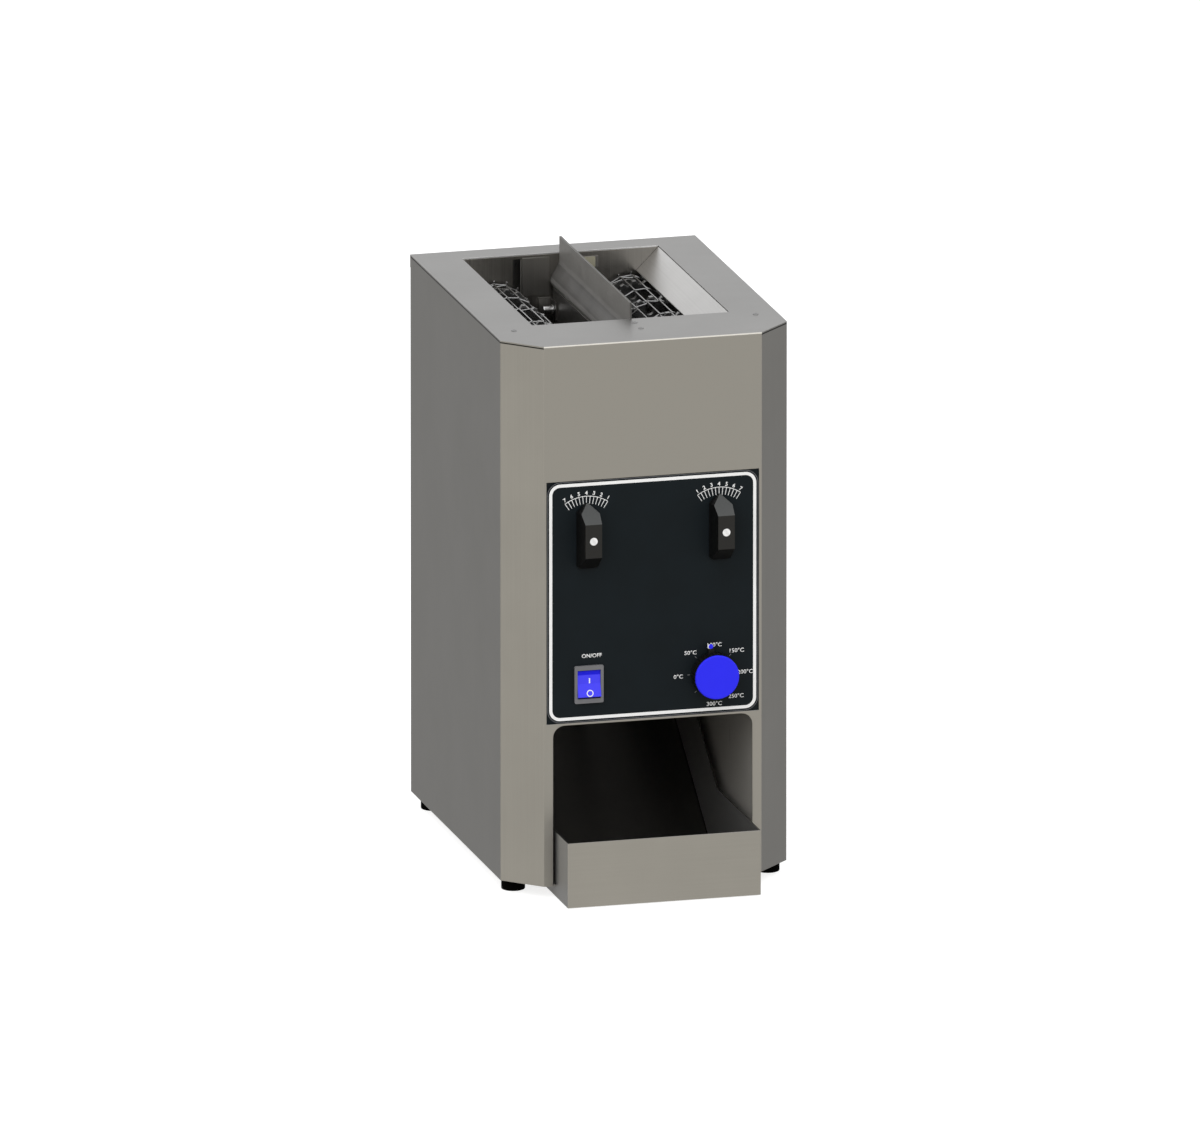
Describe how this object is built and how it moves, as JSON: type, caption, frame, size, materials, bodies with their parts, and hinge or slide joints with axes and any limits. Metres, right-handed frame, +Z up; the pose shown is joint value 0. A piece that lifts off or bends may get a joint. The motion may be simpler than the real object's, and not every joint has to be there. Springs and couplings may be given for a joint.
{
  "type": "vertical bun toaster",
  "caption": "Upright toaster for bun halves: two wire belt conveyors press them to a central heated platen, and a folded chute brings them out at the front.",
  "frame": {"origin": "centre of the footprint, on the table under the feet", "axes": "+Z up, -Y towards the person in front of the control plate, +X to that person's right"},
  "size_m": [0.25, 0.3666, 0.4955],
  "materials": {
    "casing_steel": "brushed stainless steel",
    "fastener_steel": "plain steel",
    "foot_rubber": "matt",
    "inner_steel": "heat toned sheet",
    "guide_steel": "bright sheet",
    "plate_black": "satin",
    "platen_cast": "cast, machined faces",
    "element_alloy": "heat toned",
    "bush_bronze": "turned",
    "motor_grey": "satin",
    "shaft_steel": "ground",
    "zinc_steel": "zinc plated",
    "bezel_grey": "satin",
    "terminal_white": "matt",
    "inlet_black": "matt",
    "gear_steel": "machined",
    "belt_wire": "bright drawn wire",
    "knob_grey": "satin",
    "cap_white": "gloss",
    "dial_black": "satin",
    "dial_blue": "satin",
    "rocker_blue": "satin",
    "chute_steel": "brushed stainless steel"
  },
  "bodies": {
    "casing": {"base_pan": "casing_steel", "left_side_panel": "casing_steel", "right_side_panel": "casing_steel", "rear_panel": "casing_steel", "front_panel": "casing_steel", "top_lid": "casing_steel", "lid_screws": "fastener_steel", "rear_screws": "fastener_steel", "feet": "foot_rubber", "foot_screws": "fastener_steel", "left_inner_wall": "inner_steel", "right_inner_wall": "inner_steel", "front_bulkhead": "inner_steel", "hopper_rear_wall": "inner_steel", "left_hopper_guide": "guide_steel", "right_hopper_guide": "guide_steel", "control_plate": "plate_black", "control_backing": "plate_black", "platen": "platen_cast", "platen_fin": "guide_steel", "heating_elements": "element_alloy", "platen_brackets": "guide_steel", "platen_bolts": "fastener_steel", "drive_bushes": "bush_bronze", "knob_bushes": "bush_bronze", "gearmotor": "motor_grey", "motor_standoffs": "shaft_steel", "idler_axle": "shaft_steel", "thermostat_body": "zinc_steel", "sensor_bulb": "bush_bronze", "capillary_tube": "bush_bronze", "switch_housing": "bezel_grey", "terminal_block": "terminal_white", "power_inlet": "inlet_black"},
    "left_drive": {"left_drive_shaft": "shaft_steel", "left_sprockets": "gear_steel", "left_drive_gear": "gear_steel"},
    "left_conveyor": {"left_end_plates": "zinc_steel", "left_slider_plate": "zinc_steel", "left_belt": "belt_wire"},
    "left_roller": {"left_lower_roller": "gear_steel"},
    "left_compression_knob": {"left_knob": "knob_grey", "left_knob_cap": "cap_white", "left_knob_shaft": "shaft_steel"},
    "right_drive": {"right_drive_shaft": "shaft_steel", "right_sprockets": "gear_steel", "right_drive_gear": "gear_steel"},
    "right_conveyor": {"right_end_plates": "zinc_steel", "right_slider_plate": "zinc_steel", "right_belt": "belt_wire"},
    "right_roller": {"right_lower_roller": "gear_steel"},
    "right_compression_knob": {"right_knob": "knob_grey", "right_knob_cap": "cap_white", "right_knob_shaft": "shaft_steel"},
    "motor_output": {"motor_gear": "gear_steel"},
    "idler": {"idler_gear": "gear_steel"},
    "thermostat_dial": {"thermostat_knob": "dial_black", "thermostat_cap": "dial_blue"},
    "switch_rocker": {"rocker": "rocker_blue"},
    "chute": {"chute": "chute_steel"}
  },
  "joints": [
    {"name": "left_drive_spin", "type": "hinge", "parent": "casing", "child": "left_drive", "pos_m": [-0.0585, 0.04145, 0.433], "axis": [0, 1, 0], "continuous": true, "deforming": ["left_belt"]},
    {"name": "left_conveyor_swing", "type": "hinge", "parent": "casing", "child": "left_conveyor", "pos_m": [-0.0585, 0.04145, 0.433], "axis": [0, 1, 0], "range_deg": [-1.35, 1.35]},
    {"name": "left_roller_spin", "type": "hinge", "parent": "left_conveyor", "child": "left_roller", "pos_m": [-0.0585, 0.04145, 0.2188], "axis": [0, 1, 0], "continuous": true},
    {"name": "left_knob_turn", "type": "hinge", "parent": "casing", "child": "left_compression_knob", "pos_m": [-0.05785, -0.15765, 0.3156], "axis": [0, 1, 0], "range_deg": [-32, 32]},
    {"name": "right_drive_spin", "type": "hinge", "parent": "casing", "child": "right_drive", "pos_m": [0.0585, 0.04145, 0.433], "axis": [0, 1, 0], "continuous": true, "deforming": ["right_belt"]},
    {"name": "right_conveyor_swing", "type": "hinge", "parent": "casing", "child": "right_conveyor", "pos_m": [0.0585, 0.04145, 0.433], "axis": [0, 1, 0], "range_deg": [-1.35, 1.35]},
    {"name": "right_roller_spin", "type": "hinge", "parent": "right_conveyor", "child": "right_roller", "pos_m": [0.0585, 0.04145, 0.2188], "axis": [0, 1, 0], "continuous": true},
    {"name": "right_knob_turn", "type": "hinge", "parent": "casing", "child": "right_compression_knob", "pos_m": [0.05785, -0.15765, 0.3156], "axis": [0, 1, 0], "range_deg": [-32, 32]},
    {"name": "motor_gear_spin", "type": "hinge", "parent": "casing", "child": "motor_output", "pos_m": [-0.0195, -0.08865, 0.433], "axis": [0, 1, 0], "continuous": true},
    {"name": "idler_gear_spin", "type": "hinge", "parent": "casing", "child": "idler", "pos_m": [0.0195, -0.08865, 0.433], "axis": [0, 1, 0], "continuous": true},
    {"name": "thermostat_turn", "type": "hinge", "parent": "casing", "child": "thermostat_dial", "pos_m": [0.0526, -0.15365, 0.1869], "axis": [0, 1, 0], "range_deg": [-83, 187]},
    {"name": "rocker_press", "type": "hinge", "parent": "casing", "child": "switch_rocker", "pos_m": [-0.056, -0.14315, 0.1852], "axis": [1, 0, 0], "range_deg": [0, 16]},
    {"name": "chute_slide", "type": "slide", "parent": "casing", "child": "chute", "axis": [0, -1, 0], "range_m": [0, 0.15]}
  ],
  "couplings": [
    {"joint": "left_conveyor_swing", "follows": "left_knob_turn", "ratio": -0.041916},
    {"joint": "right_conveyor_swing", "follows": "right_knob_turn", "ratio": -0.041916},
    {"joint": "right_drive_spin", "follows": "left_drive_spin", "ratio": -1},
    {"joint": "motor_gear_spin", "follows": "left_drive_spin", "ratio": -1},
    {"joint": "idler_gear_spin", "follows": "left_drive_spin", "ratio": 1},
    {"joint": "left_roller_spin", "follows": "left_drive_spin", "ratio": 1},
    {"joint": "right_roller_spin", "follows": "left_drive_spin", "ratio": -1}
  ]
}
